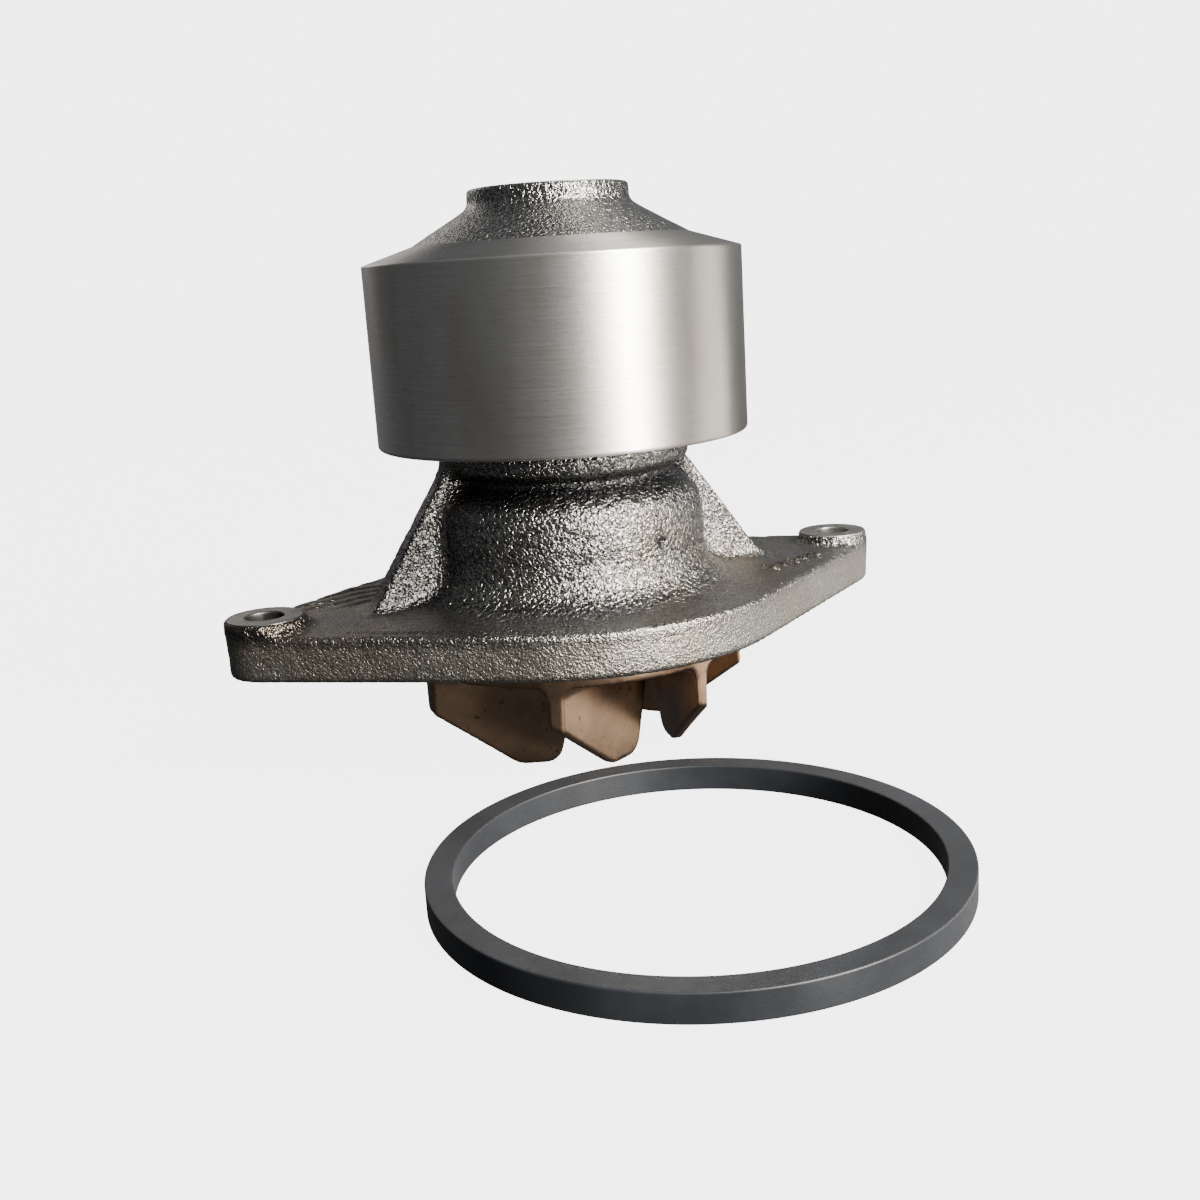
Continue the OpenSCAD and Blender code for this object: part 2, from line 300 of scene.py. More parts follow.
def divided(outline, longest):
    """The outline with each side longer than longest cut into equal shorter ones."""
    result = []
    for i, here in enumerate(outline):
        ahead = outline[(i + 1) % len(outline)]
        pieces = max(1, math.ceil(np.linalg.norm(ahead - here) / longest))
        for k in range(pieces):
            result.append(here + (ahead - here) * k / pieces)
    return result


def lathe_points(outline, segments, centre=(0, 0, 0)):
    """Points and quads of a closed outline turned about the vertical axis through centre."""
    outline = np.array(outline)
    turn = np.linspace(0, 2 * math.pi, segments, endpoint=False)
    r = outline[None, :, 0]
    points = np.stack([
        centre[0] + r * np.cos(turn)[:, None],
        centre[1] + r * np.sin(turn)[:, None],
        centre[2] + np.broadcast_to(outline[None, :, 1], (segments, len(outline))),
    ], axis=2).reshape(-1, 3)
    n = len(outline)
    faces = []
    for i in range(segments):
        j = (i + 1) % segments
        for k in range(n):
            m = (k + 1) % n
            faces.append((i * n + k, j * n + k, j * n + m, i * n + m))
    return points, faces


def fix_normals(piece):
    """Joins points that coincide and turns all faces outwards."""
    work = bmesh.new()
    work.from_mesh(piece.data)
    bmesh.ops.remove_doubles(work, verts=work.verts, dist=1e-7)
    bmesh.ops.recalc_face_normals(work, faces=work.faces)
    work.to_mesh(piece.data)
    work.free()


def lathe(name, corners, material, segments, centre=(0, 0, 0)):
    """New object turned from rounded corners, with no side of its outline over 3 mm."""
    points, faces = lathe_points(divided(rounded(corners), 3.0), segments, centre)
    piece = make_mesh(name, points, faces, material)
    fix_normals(piece)
    return piece


# ---------------------------------------------------------------- materials

def grey(v):
    return (v, v, v)


def set_stops(ramp, stops):
    """Gives a colour ramp these stops of (place, colour)."""
    while len(ramp.elements) < len(stops):
        ramp.elements.new(0.5)
    for element, (at, colour) in zip(ramp.elements, stops):
        element.position = at
        element.color = (*colour, 1)


class Nodes:
    """A small helper that builds one node material."""

    def __init__(self, name, **constants):
        self.material = bpy.data.materials.new(name)
        self.material.use_nodes = True
        self.tree = self.material.node_tree
        self.shader = self.tree.nodes["Principled BSDF"]
        for socket, value in constants.items():
            self.shader.inputs[socket.replace("_", " ")].default_value = value

    def add(self, kind, settings=None, **inputs):
        """New node; inputs are given by socket name, or as i0, i1 and so on by number."""
        node = self.tree.nodes.new(kind)
        for key, value in (settings or {}).items():
            setattr(node, key, value)
        for key, value in inputs.items():
            numbered = key[0] == "i" and key[1:].isdigit()
            self.put(value, node.inputs[int(key[1:]) if numbered else key.replace("_", " ")])
        return node

    def put(self, value, socket):
        if isinstance(value, bpy.types.NodeSocket):
            self.tree.links.new(value, socket)
        else:
            socket.default_value = value

    def place(self):
        """Position on the object, in metres, in the CAD frame."""
        return self.add("ShaderNodeTexCoord").outputs["Object"]

    def coordinates(self):
        """The place's x, y and z as three values."""
        return self.add("ShaderNodeSeparateXYZ", Vector=self.place()).outputs

    def radius(self, x, y):
        """Distance from the shaft axis."""
        squares = self.math("ADD", self.math("POWER", x, 2.0), self.math("POWER", y, 2.0))
        return self.math("SQRT", squares)

    def scaled(self, factor, value):
        return self.math("MULTIPLY", value, factor)

    def stretched(self, scale):
        return self.add("ShaderNodeMapping", Vector=self.place(), Scale=scale).outputs[0]

    def noise(self, scale, detail=3, rough=0.55, vector=None, twist=0.0):
        node = self.add("ShaderNodeTexNoise", Vector=vector or self.place(), Scale=scale, Detail=detail,
                        Roughness=rough, Distortion=twist)
        return node.outputs["Fac"]

    def math(self, operation, a, b=0.0):
        return self.add("ShaderNodeMath", {"operation": operation}, i0=a, i1=b).outputs[0]

    def ramp(self, fac, stops):
        """Colours blended along fac between stops of (place, colour)."""
        node = self.add("ShaderNodeValToRGB", Fac=fac)
        set_stops(node.color_ramp, stops)
        return node.outputs["Color"]

    def mask(self, fac, none_at, full_at):
        """0 where fac is none_at or further from full_at, rising to 1 at full_at and beyond."""
        return self.ramp(fac, sorted([(none_at, grey(0)), (full_at, grey(1))]))

    def mix(self, fac, a, b, blend="MIX"):
        node = self.add("ShaderNodeMix", {"data_type": "RGBA", "blend_type": blend})
        self.put(fac, node.inputs["Factor"])
        self.put(a, node.inputs[6])
        self.put(b, node.inputs[7])
        return node.outputs[2]

    def mix_value(self, fac, a, b):
        node = self.add("ShaderNodeMix", {"data_type": "FLOAT"})
        self.put(fac, node.inputs["Factor"])
        self.put(a, node.inputs[2])
        self.put(b, node.inputs[3])
        return node.outputs[0]

    def bump(self, height, distance):
        node = self.add("ShaderNodeBump", Height=height, Distance=distance, Strength=1.0)
        return node.outputs["Normal"]

    def set(self, **sockets):
        for name, value in sockets.items():
            self.put(value, self.shader.inputs[name.replace("_", " ")])
        return self.material


def cast_iron():
    """Oily sand-cast iron, drier on the flange's edge and smooth on the machined rear face, with painted
    light on the edge towards the right ear and painted shade on the left, on level tops, in the waist
    and in the gas hole.
    """
    m = Nodes("cast_iron", Metallic=1.0)
    x, y, z = m.coordinates()
    normal = m.add("ShaderNodeTexCoord").outputs["Normal"]
    facing_up = m.add("ShaderNodeSeparateXYZ", Vector=normal).outputs["Z"]
    # Where the machined rear face, the flange's edge and its level top are
    machined = m.math("LESS_THAN", z, 0.00012)
    edge = m.mask(z, 0.0104, 0.0094)
    flange_top = m.math("LESS_THAN", z, 0.0125)
    level = m.math("MULTIPLY", m.mask(facing_up, 0.80, 0.97), flange_top)
    # Painted light across the flange: half at the middle of the flange, rising towards the right ear
    light_from_right = m.math("MULTIPLY_ADD", x, 11.0)
    grain = m.noise(1080, 1, 0.5, twist=0.9)
    fine = m.noise(1600, 2, 0.55, twist=0.5)
    patch = m.noise(34, 3, 0.6)
    body = m.ramp(grain, [(0.36, (0.075, 0.076, 0.079)), (0.64, (0.230, 0.225, 0.212))])
    # Painted shade: level tops of the flange are darker
    shaded_level_top = m.ramp(grain, [(0.34, (0.055, 0.057, 0.062)), (0.66, (0.150, 0.150, 0.150))])
    # The edge's own finer, drier skin, painted lighter towards the right ear: painted light
    shaded_rim = m.ramp(fine, [(0.34, (0.125, 0.118, 0.104)), (0.66, (0.270, 0.256, 0.228))])
    lit_rim = m.ramp(fine, [(0.34, (0.155, 0.150, 0.138)), (0.66, (0.285, 0.275, 0.255))])
    rim = m.mix(m.mask(light_from_right, 0.20, 0.74), shaded_rim, lit_rim)
    upper = m.mix(level, body, shaded_level_top)
    # Painted shade: the upper surfaces towards the left ear are darkened
    darker_left = m.mix(1.0, upper, (0.36, 0.36, 0.37, 1), "MULTIPLY")
    upper = m.mix(m.mask(light_from_right, 0.14, 0.06), upper, darker_left)
    skin = m.mix(edge, upper, rim)
    rusty = m.scaled(0.36, m.mask(patch, 0.50, 0.70))
    tinted = m.mix(rusty, skin, (0.17, 0.130, 0.082, 1))
    # Painted shade in the waist below the collar, under the pulley
    waist = m.ramp(z, [(0.0366, grey(0)), (0.0382, grey(1)), (0.0408, grey(1)), (0.0420, grey(0))])
    waist = m.math("MULTIPLY", waist, m.math("LESS_THAN", m.radius(x, y), 0.0325))
    tinted = m.mix(m.scaled(0.85, waist), tinted, (0.022, 0.023, 0.026, 1))
    pit_middle = [c * MM for c in PIT]
    from_pit = m.add("ShaderNodeVectorMath", {"operation": "DISTANCE"}, i0=m.place(), i1=pit_middle)
    # Painted shade in the small gas hole
    pit = m.scaled(0.9, m.mask(from_pit.outputs["Value"], 0.0013, 0.0009))
    tinted = m.mix(pit, tinted, (0.012, 0.012, 0.013, 1))
    colour = m.mix(machined, tinted, (0.42, 0.41, 0.40, 1))
    dull = m.mix_value(level, m.mix_value(fine, 0.23, 0.33), 0.42)
    rough = m.mix_value(machined, m.mix_value(edge, dull, 0.42), 0.32)
    turned = m.noise(1, 2, 0.5, m.stretched((2600, 60, 60)))
    coarse = m.math("ADD", grain, m.scaled(0.16, fine))
    small = m.math("ADD", m.scaled(0.52, fine), m.scaled(0.12, grain))
    height = m.mix_value(machined, m.mix_value(edge, coarse, small), m.scaled(0.04, turned))
    return m.set(Base_Color=colour, Roughness=rough, Normal=m.bump(height, 0.00066))


def turned_steel():
    """Pulley: fine turning marks on the rim, sand-cast skin on the cone and hub."""
    m = Nodes("turned_steel", Metallic=1.0, Anisotropic=0.8, Anisotropic_Rotation=0.25)
    x, y, z = m.coordinates()
    wavy = m.scaled(0.0006, m.math("SUBTRACT", m.noise(300, 2), 0.5))
    inner = m.math("LESS_THAN", m.math("ADD", m.radius(x, y), wavy), 0.0337)
    below_top = m.math("LESS_THAN", z, (HUB_TOP - 0.3) * MM)
    cast = m.math("MULTIPLY", inner, below_top)
    lines = m.noise(1, 4, 0.62, m.stretched((60, 60, 4600)))
    wide_lines = m.noise(1, 2, 0.5, m.stretched((9, 9, 900)))
    dashes = m.noise(1, 3, 0.6, m.stretched((330, 330, 1700)))
    speck = m.noise(1300, 2, 0.6)
    cloud = m.noise(30, 3, 0.6, m.stretched((1, 1, 0.4)))
    film = m.noise(24, 3, 0.6, m.stretched((1, 1, 0.25)))
    grain = m.noise(1250, 1, 0.5, twist=0.7)
    steel = m.ramp(lines, [(0.25, (0.43, 0.424, 0.406)), (0.75, (0.54, 0.532, 0.512))])
    steel = m.mix(m.scaled(0.55, m.mask(cloud, 0.48, 0.68)), steel, (0.34, 0.265, 0.21, 1))
    steel = m.mix(m.scaled(0.5, m.mask(film, 0.50, 0.64)), steel, (0.33, 0.335, 0.30, 1))
    steel = m.mix(m.scaled(0.30, m.mask(dashes, 0.60, 0.72)), steel, (0.17, 0.16, 0.15, 1))
    # Painted shade: the steel from the rim's top face upwards is darker
    rim_top_shade = m.math("GREATER_THAN", z, (RIM_TOP + 0.12) * MM)
    steel = m.mix(m.scaled(0.55, rim_top_shade), steel, (0.13, 0.13, 0.13, 1))
    skin = m.ramp(grain, [(0.33, (0.105, 0.105, 0.108)), (0.67, (0.27, 0.263, 0.248))])
    rough_steel = m.math("ADD", 0.35, m.scaled(0.07, m.math("ADD", lines, speck)))
    marks = m.math("ADD", m.scaled(0.010, lines), m.scaled(0.014, wide_lines))
    marks = m.math("ADD", marks, m.scaled(0.060, dashes))
    # The highlight stretches along the axis, across the turning marks
    tangent = m.add("ShaderNodeTangent", {"direction_type": "RADIAL", "axis": "Z"}).outputs[0]
    return m.set(Base_Color=m.mix(cast, steel, skin), Roughness=m.mix_value(cast, rough_steel, 0.30),
                 Normal=m.bump(m.mix_value(cast, marks, grain), 0.00055), Tangent=tangent)


def brown_bronze():
    """Impeller: satin brown bronze with faint mould grain and darker blotches."""
    m = Nodes("brown_bronze", Metallic=1.0)
    grain = m.noise(900, 3, 0.6)
    blotch = m.noise(70, 4, 0.6)
    colour = m.ramp(blotch, [(0.25, (0.185, 0.120, 0.080)), (0.75, (0.370, 0.250, 0.162))])
    specks = m.mask(m.noise(420, 2, 0.7), 0.64, 0.71)
    colour = m.mix(m.scaled(0.6, specks), colour, (0.05, 0.036, 0.028, 1))
    rough = m.mix_value(grain, 0.26, 0.36)
    return m.set(Base_Color=colour, Roughness=rough, Normal=m.bump(grain, 0.000022))


def moulded_rubber(name, tint):
    """Matte rubber with a fine skin and dusty patches."""
    m = Nodes(name, Specular_IOR_Level=0.4, Sheen_Weight=0.03)
    skin = m.noise(1500, 3, 0.55)
    dust = m.noise(60, 4, 0.6)
    light = tuple(min(1, c * 1.6 + 0.003) for c in tint)
    colour = m.ramp(dust, [(0.35, tint), (0.8, light)])
    rough = m.mix_value(dust, 0.40, 0.56)
    return m.set(Base_Color=colour, Roughness=rough, Normal=m.bump(skin, 0.00003))


def ground_steel(name, colour, rough):
    """Ground or pressed metal with fine marks round the axis."""
    m = Nodes(name, Metallic=1.0)
    lines = m.noise(1, 3, 0.55, m.stretched((30, 30, 4200)))
    dull = m.noise(160, 3, 0.5)
    dark = tuple(0.75 * c for c in colour)
    return m.set(Base_Color=m.ramp(lines, [(0.2, dark), (0.8, colour)]),
                 Roughness=m.mix_value(dull, rough, rough + 0.14), Normal=m.bump(lines, 0.000008))


def moulded_solid(name, colour, rough):
    """Moulded cage plastic, carbon or ceramic: a faint mottle and a fine skin."""
    m = Nodes(name)
    mottle = m.noise(240, 4, 0.6)
    dark = tuple(0.8 * c for c in colour)
    return m.set(Base_Color=m.ramp(mottle, [(0.3, dark), (0.75, colour)]),
                 Roughness=m.mix_value(mottle, rough, rough + 0.12),
                 Normal=m.bump(m.noise(1700, 2), 0.00001))


def machined_face():
    """Milled pad: fine arcs of tool marks across the face, darker on the left one."""
    m = Nodes("machined_face", Metallic=1.0)
    arcs = m.noise(1, 3, 0.5, m.stretched((2400, 500, 300)))
    dirt = m.noise(320, 4, 0.6)
    darker_left = m.ramp(dirt, [(0.35, (0.05, 0.05, 0.05)), (0.75, (0.14, 0.138, 0.13))])
    lighter_right = m.ramp(dirt, [(0.35, (0.17, 0.17, 0.165)), (0.75, (0.33, 0.325, 0.31))])
    # The left pad is darker than the right one
    colour = m.mix(m.math("GREATER_THAN", m.coordinates()["X"], 0.0), darker_left, lighter_right)
    return m.set(Base_Color=colour, Roughness=m.mix_value(arcs, 0.34, 0.52),
                 Normal=m.bump(arcs, 0.00003))


IRON = cast_iron()
STEEL = turned_steel()
BRONZE = brown_bronze()
RUBBER = moulded_rubber("ring_rubber", (0.0045, 0.0058, 0.0080))
LIP_RUBBER = moulded_rubber("lip_rubber", (0.014, 0.014, 0.016))
PAD = machined_face()
BEARING = ground_steel("bearing_steel", (0.66, 0.66, 0.68), 0.14)
SHEET = ground_steel("seal_steel", (0.60, 0.60, 0.62), 0.26)
BRASS = ground_steel("seal_brass", (0.70, 0.52, 0.24), 0.28)
CAGE = moulded_solid("cage_plastic", (0.70, 0.62, 0.42), 0.42)
CARBON = moulded_solid("seal_carbon", (0.035, 0.035, 0.04), 0.34)
CERAMIC = moulded_solid("seal_ceramic", (0.80, 0.78, 0.72), 0.18)


# ---------------------------------------------------------------- housing casting

# Height and outer radius of the bell, from its flared foot to the nose
PROFILE = [
    (-5, 30), (0, 30), (10, 46), (11.4, 41.8), (13.2, 38.4), (16, 35.7), (20, 34.4), (25, 34.2),
    (29.6, 33.9), (31.8, 33.6), (33.4, 33.1), (34.8, 32.3), (36.1, 31.0), (37.4, 29.2), (38.6, 27.5),
    (39.7, 26.9), (40.7, 27.5), (41.7, 29.4), (42.6, 30.7), (43.6, 31), (46.4, 31), (49.5, 28.2),
    (53, 26.5), (90, 26.5),
]


def smooth_profile(z):
    """Outer radius of the bell, waist, collar and nose at each height, and its slope."""
    zs, rs = np.array(PROFILE, dtype=float).T
    slope = np.gradient(rs, zs)
    slope[:3] = 0
    slope[-2:] = 0
    i = np.clip(np.searchsorted(zs, z) - 1, 0, len(zs) - 2)
    h = zs[i + 1] - zs[i]
    t = np.clip((z - zs[i]) / h, 0, 1)
    a, b = rs[i], rs[i + 1]
    p, q = slope[i] * h, slope[i + 1] * h
    t2, t3 = t * t, t * t * t
    radius = (2 * t3 - 3 * t2 + 1) * a + (t3 - 2 * t2 + t) * p + (3 * t2 - 2 * t3) * b + (t3 - t2) * q
    rise = (6 * t2 - 6 * t) * a + (3 * t2 - 4 * t + 1) * p + (6 * t - 6 * t2) * b + (3 * t2 - 2 * t) * q
    return radius, rise / h


# Each web's reach from the axis at this height, and how much it gains for each millimetre down
WEB_REACH_Z = 46.5
LEFT_WEB = (30.3, 0.648)
RIGHT_WEB = (28.7, 0.723)
# Webs: height of their top, distance of their inner side from the axis, and half their thickness there
WEB_TOP = 45.5
WEB_INNER = 20
WEB_HALF = 2.3
# Rear side: a shallow room round the seal, and a pocket between it and the flange's thick rim
SEAL_ROOM_R = 25
SEAL_ROOM_TOP = 2.6
POCKET_TOP = 16
# Radii of the pocket's outer wall, and of the bore for seal and bearing, at these heights
POCKET_WALL = ((0, 6, POCKET_TOP), (43.4, 40.8, 28.5))
BORE_WALL = ((15.9, 16.1, 28.1, 28.3), (18.2, 17, 17, 19))
# Weep hole at the back of the bell
WEEP_Z = 22
WEEP_R = 2.5
# Short raised bars on the right of the flange: their number, and the step from one to the next
BAR_COUNT = 5
BAR_STEP = (4.1, 1.55)
FIRST_BAR = (46.5, -20.4)


def cast_marks(x, y, z):
    """Height of the raised marks on the flange: a rib at its front left edge, and five short bars."""
    marks = np.zeros(np.shape(x))
    level = np.clip((z - 8.5) / 1.5, 0, 1)
    rib = np.abs(egg(x, y, FLANGE_R, EAR_R, EAR_X) + 4.2)
    along = np.clip((x + 66) / 2, 0, 1) * np.clip((-18 - x) / 10, 0, 1) * (y < 0)
    marks += 0.45 * np.clip(1 - (rib / 0.9) ** 2, 0, 1) * along
    for k in range(BAR_COUNT):
        u = x - (FIRST_BAR[0] + BAR_STEP[0] * k)
        v = y - FIRST_BAR[1] - BAR_STEP[1] * k
        bar_u = 0.935 * u + 0.354 * v
        bar_v = -0.354 * u + 0.935 * v
        bar = np.maximum(np.abs(bar_u) - 0.7, np.abs(bar_v) - 2.6 + 0.9 * (k % 2))
        marks += 1.2 * np.clip(0.5 - bar / 0.9, 0, 1)
    return marks * level


def ridges(x, y, z):
    """Slanting cast ridges on the flange behind the left web."""
    patch = np.clip(1.2 - np.hypot((x + 55) / 17, (y - 21) / 17) ** 2, 0, 1)
    patch = patch * np.clip((y - 7) / 4, 0, 1) * np.clip((z - 7) / 3, 0, 1)
    wave = np.sin((-0.27 * x + 0.96 * y) * 2 * math.pi / 4.6 + 0.8 * np.sin(x * 0.4))
    return 0.65 * patch * (0.35 - 1.3 * np.clip(wave, 0, 1) ** 2)


def casting(x, y, z):
    """Signed distance of the housing, in millimetres."""
    r = np.hypot(x, y)
    outline = egg(x, y, FLANGE_R, EAR_R, EAR_X)
    drafted = outline + np.clip(0.03 * (FLANGE_H - z), 0, 1)
    flange = slab(drafted, z, 0, FLANGE_H + 0.25, 1.3)
    flange = flange - ridges(x, y, z) - cast_marks(x, y, z)
    radius, lean = smooth_profile(z)
    body = (r - radius) / np.sqrt(1 + lean * lean)
    body = smooth_max(body, z - NOSE_TOP, 0.8)
    body = smooth_max(body, 2 - z, 0.8)
    ax = np.abs(x)
    reach = np.where(x < 0, LEFT_WEB[0], RIGHT_WEB[0])
    web_slope = np.where(x < 0, LEFT_WEB[1], RIGHT_WEB[1])
    top = (ax - reach - (WEB_REACH_Z - z) * web_slope) / np.hypot(1, web_slope)
    thick = np.abs(y) - WEB_HALF - 0.035 * np.clip(44 - z, 0, 40)
    web = smooth_max(smooth_max(top, thick, 0.5), np.maximum(z - WEB_TOP, WEB_INNER - ax), 0.6)
    web = np.maximum(web, 4 - z)
    solid = smooth_min(flange, body, 2.0)
    solid = smooth_min(solid, web, 3.4)
    for sign, lean_out in ((-1, 0.62), (1, 0.06)):
        from_bolt = np.hypot(x - sign * EAR_X, y)
        cone = (from_bolt - BOSS_R - lean_out * (BOSS_TOP - z)) / math.hypot(1, lean_out)
        boss = smooth_max(np.maximum(cone, drafted), z - BOSS_TOP + 0.12, 0.5)
        boss = np.maximum(boss, 6 - z)
        solid = smooth_min(solid, boss, 0.05 + 1.35 * np.clip(z - 10.2, 0, 1))
        solid = np.maximum(solid, BOLT_R + 0.35 - from_bolt)
    seal_room = np.maximum(r - SEAL_ROOM_R, z - SEAL_ROOM_TOP)
    pocket = np.maximum(np.maximum(SEAL_ROOM_R - r, r - np.interp(z, *POCKET_WALL)), z - POCKET_TOP)
    bore = r - np.interp(z, *BORE_WALL)
    weep = np.maximum(np.hypot(x, z - WEEP_Z) - WEEP_R, -y)
    pit = np.sqrt((x - PIT[0]) ** 2 + (y - PIT[1]) ** 2 + (z - PIT[2]) ** 2) - PIT_R
    holes = np.minimum(np.minimum(seal_room, pocket), np.minimum(bore, weep))
    return np.maximum(solid, -np.minimum(holes, pit))


def build_housing():
    """The casting with its sand-cast skin, and a milled pad on each bolt boss."""
    step = 0.85
    low = HOUSING_LOW - 3 * step
    high = HOUSING_HIGH + 3 * step
    points, quads = surface_net(casting, low, high, step)
    slope = gradient(casting, points)
    normal = slope / np.maximum(np.linalg.norm(slope, axis=1), 1e-6)[:, None]
    sand = 0.10 * value_noise(points, 2.3, 3) + 0.06 * value_noise(points, 5.5, 4)
    sand += 0.12 * value_noise(points, 19, 5)
    r = np.hypot(points[:, 0], points[:, 1])
    rough_skin = (points[:, 2] > 0.3) & (r > 20.5)
    inset = 0.14
    points = points + normal * ((sand - inset) * rough_skin)[:, None]
    points = np.clip(points, HOUSING_LOW, HOUSING_HIGH)
    piece = make_mesh("housing_casting", points, quads, IRON)
    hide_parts("housing")
    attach(piece, "housing")
    for name, sign in (("bolt_pad_left", -1), ("bolt_pad_right", 1)):
        corners = [(BOLT_R, 0.0, 0.3), (BOLT_R, BOSS_TOP, 0.45), (BOSS_R - 0.3, BOSS_TOP, 0.25),
                   (BOSS_R - 0.3, BOSS_TOP - 1.2, 0.2), (BOLT_R + 0.9, BOSS_TOP - 1.6, 0.2),
                   (BOLT_R + 0.9, 0.0, 0.2)]
        pad = lathe(name, corners, PAD, 96, (sign * EAR_X, 0, 0))
        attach(pad, "housing")


# ---------------------------------------------------------------- pulley

def build_pulley():
    """Turned cup with the cast skin of its cone and hub."""
    cone_r = PULLEY_R - CONE_INSET
    inner_r = PULLEY_R - RIM_WALL
    corners = [
        (inner_r, PULLEY_BOTTOM, 0.5), (PULLEY_R, PULLEY_BOTTOM, 0.9), (PULLEY_R, RIM_TOP, 0.55),
        (cone_r, RIM_TOP + 3.9, 0.4), (HUB_R + 2.6, RIM_TOP + 10.4, 3.0), (HUB_R, RIM_TOP + 12.2, 2.4),
        (HUB_R - 0.2, HUB_TOP, 1.0), (SHAFT_R, HUB_TOP, 0.5), (SHAFT_R, 85.5, 0.4), (17.0, 85.5, 0.8),
        (17.0, RIM_TOP + 1.4, 2.0), (21.0, RIM_TOP + 4.6, 2.0), (cone_r, RIM_TOP - 1.2, 3.0),
        (inner_r, RIM_TOP - 4.8, 2.0),
    ]
    points, faces = lathe_points(divided(rounded(corners), 1.1), 288)
    r = np.hypot(points[:, 0], points[:, 1])
    z = points[:, 2]
    skin = (r < cone_r - 0.5) & (r > 18) & (z > RIM_TOP + 2.5) & (z < HUB_TOP - 0.7)
    outside = z > RIM_TOP + 4.3 + (cone_r - r) * 0.45
    lump = 0.08 * value_noise(points, 1.9, 11) + 0.10 * value_noise(points, 6.5, 12) - 0.05
    weight = (skin & outside).astype(float)
    points[:, 2] += lump * weight
    points[:, :2] *= (1 + 0.4 * lump * weight / np.maximum(r, 1))[:, None]
    piece = make_mesh("pulley_turned", points, faces, STEEL)
    fix_normals(piece)
    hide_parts("pulley")
    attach(piece, "rotor")


def build_shaft():
    """Shaft with a ball groove, chamfered ends and a centre-drill dimple in each."""
    low, high = SHAFT_LOW[2], SHAFT_HIGH[2]
    corners = [
        (0.02, low + 3.4, 0), (1.2, low + 1.8, 0), (2.2, low, 0.1), (JOURNAL_R, low, 0.7),
        (JOURNAL_R, 28.2, 0.2), (SHAFT_R, 28.9, 0.2), (SHAFT_R, 69.8, 0), (8.9, 71.0, 0), (8.7, 72.0, 0),
        (8.9, 73.0, 0), (SHAFT_R, 74.2, 0), (SHAFT_R, high, 0.7), (2.4, high, 0.1), (1.3, high - 1.9, 0),
        (0.02, high - 3.6, 0),
    ]
    piece = lathe("shaft_turned", corners, BEARING, 128)
    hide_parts("bearing_shaft")
    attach(piece, "rotor")


# ---------------------------------------------------------------- impeller

def blade_field(x, y, z, turn):
    """One blade: a leaning plate with a chamfered, rounded outline."""
    base_x = (IMPELLER_R - 0.6) * math.cos(turn)
    base_y = (IMPELLER_R - 0.6) * math.sin(turn)
    heading = turn + math.pi - BLADE_LEAN
    along = (x - base_x) * math.cos(heading) + (y - base_y) * math.sin(heading)
    across = -(x - base_x) * math.sin(heading) + (y - base_y) * math.cos(heading)
    bow = 0.5 * np.sin(np.clip(along / 33, 0, 1) * math.pi)
    chamfer = math.atan2(BLADE_EDGE_Z - TIP_Z, 20.0)
    slant = -(z - BLADE_EDGE_Z) * math.cos(chamfer) - along * math.sin(chamfer)
    inner_lean = math.atan2(6.2, 25.0)
    inner = (along - 36.4) * math.cos(inner_lean) - (z - DISC_BOTTOM) * math.sin(inner_lean)
    outline = smooth_max(smooth_max(slant, TIP_Z - z, 1.2), inner, 4.0)
    outline = np.maximum(outline, z + 3)
    thick = 1.2 + 0.022 * np.clip(z - TIP_Z, 0, 30)
    return smooth_max(outline, np.abs(across - bow) - thick, 0.6)


def impeller_field(x, y, z):
    """Signed distance of the impeller: disc, hub and blades."""
    r = np.hypot(x, y)
    disc = slab(r - IMPELLER_R, z, DISC_BOTTOM, DISC_TOP, 0.5)
    hub_side = r - IMPELLER_HUB_R - 0.05 * (z - IMPELLER_HUB_BOTTOM)
    hub = smooth_max(hub_side, np.maximum(IMPELLER_HUB_BOTTOM - z, z - IMPELLER_HUB_TOP), 1.0)
    body = smooth_min(disc, hub, 2.5)
    blades = np.full(np.shape(x), 1e3)
    for k in range(BLADE_COUNT):
        turn = FIRST_BLADE + k * 2 * math.pi / BLADE_COUNT
        blades = np.minimum(blades, blade_field(x, y, z, turn))
    blades = smooth_max(blades, r - IMPELLER_R, 0.4)
    body = smooth_min(body, blades, 3.0)
    body = smooth_max(body, r - IMPELLER_R, 0.4)
    return np.maximum(np.maximum(body, z - IMPELLER_HUB_TOP), JOURNAL_R - r)


def build_impeller():
    step = 0.62
    points, quads = surface_net(impeller_field, IMPELLER_LOW - 3 * step, IMPELLER_HIGH + 3 * step, step)
    piece = make_mesh("impeller_cast", points, quads, BRONZE)
    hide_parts("impeller")
    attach(piece, "rotor")


# ---------------------------------------------------------------- sealing ring

def build_ring():
    """The loose ring: rectangular section with rounded edges."""
    middle = (RING_LOW + RING_HIGH) / 2
    out_r = (RING_HIGH[0] - RING_LOW[0]) / 2 - 0.01
    in_r = out_r - RING_WALL
    low, high = RING_LOW[2], RING_HIGH[2]
    corners = [(in_r, low, 0.35), (out_r, low, 0.35), (out_r, high, 0.35), (in_r, high, 0.35)]
    piece = lathe("sealing_ring_rubber", corners, RUBBER, 256, (middle[0], middle[1], 0))
    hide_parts("sealing_ring")
    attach(piece, "sealing_ring")


# ---------------------------------------------------------------- CAD nodes that stay

NODE_MATERIALS = {
    "bearing_outer_ring": BEARING, "ball_cage": CAGE, "roller_cage": CAGE,
    "front_bearing_seal": LIP_RUBBER, "rear_bearing_seal": LIP_RUBBER, "slinger": SHEET,
    "seal_case": BRASS, "seal_spring": SHEET, "seal_bellows": LIP_RUBBER,
    "seal_carbon_ring": CARBON, "seal_ferrule": SHEET, "seal_seat_ring": CERAMIC,
    "seal_seat_boot": LIP_RUBBER, "seal_sleeve": SHEET,
}


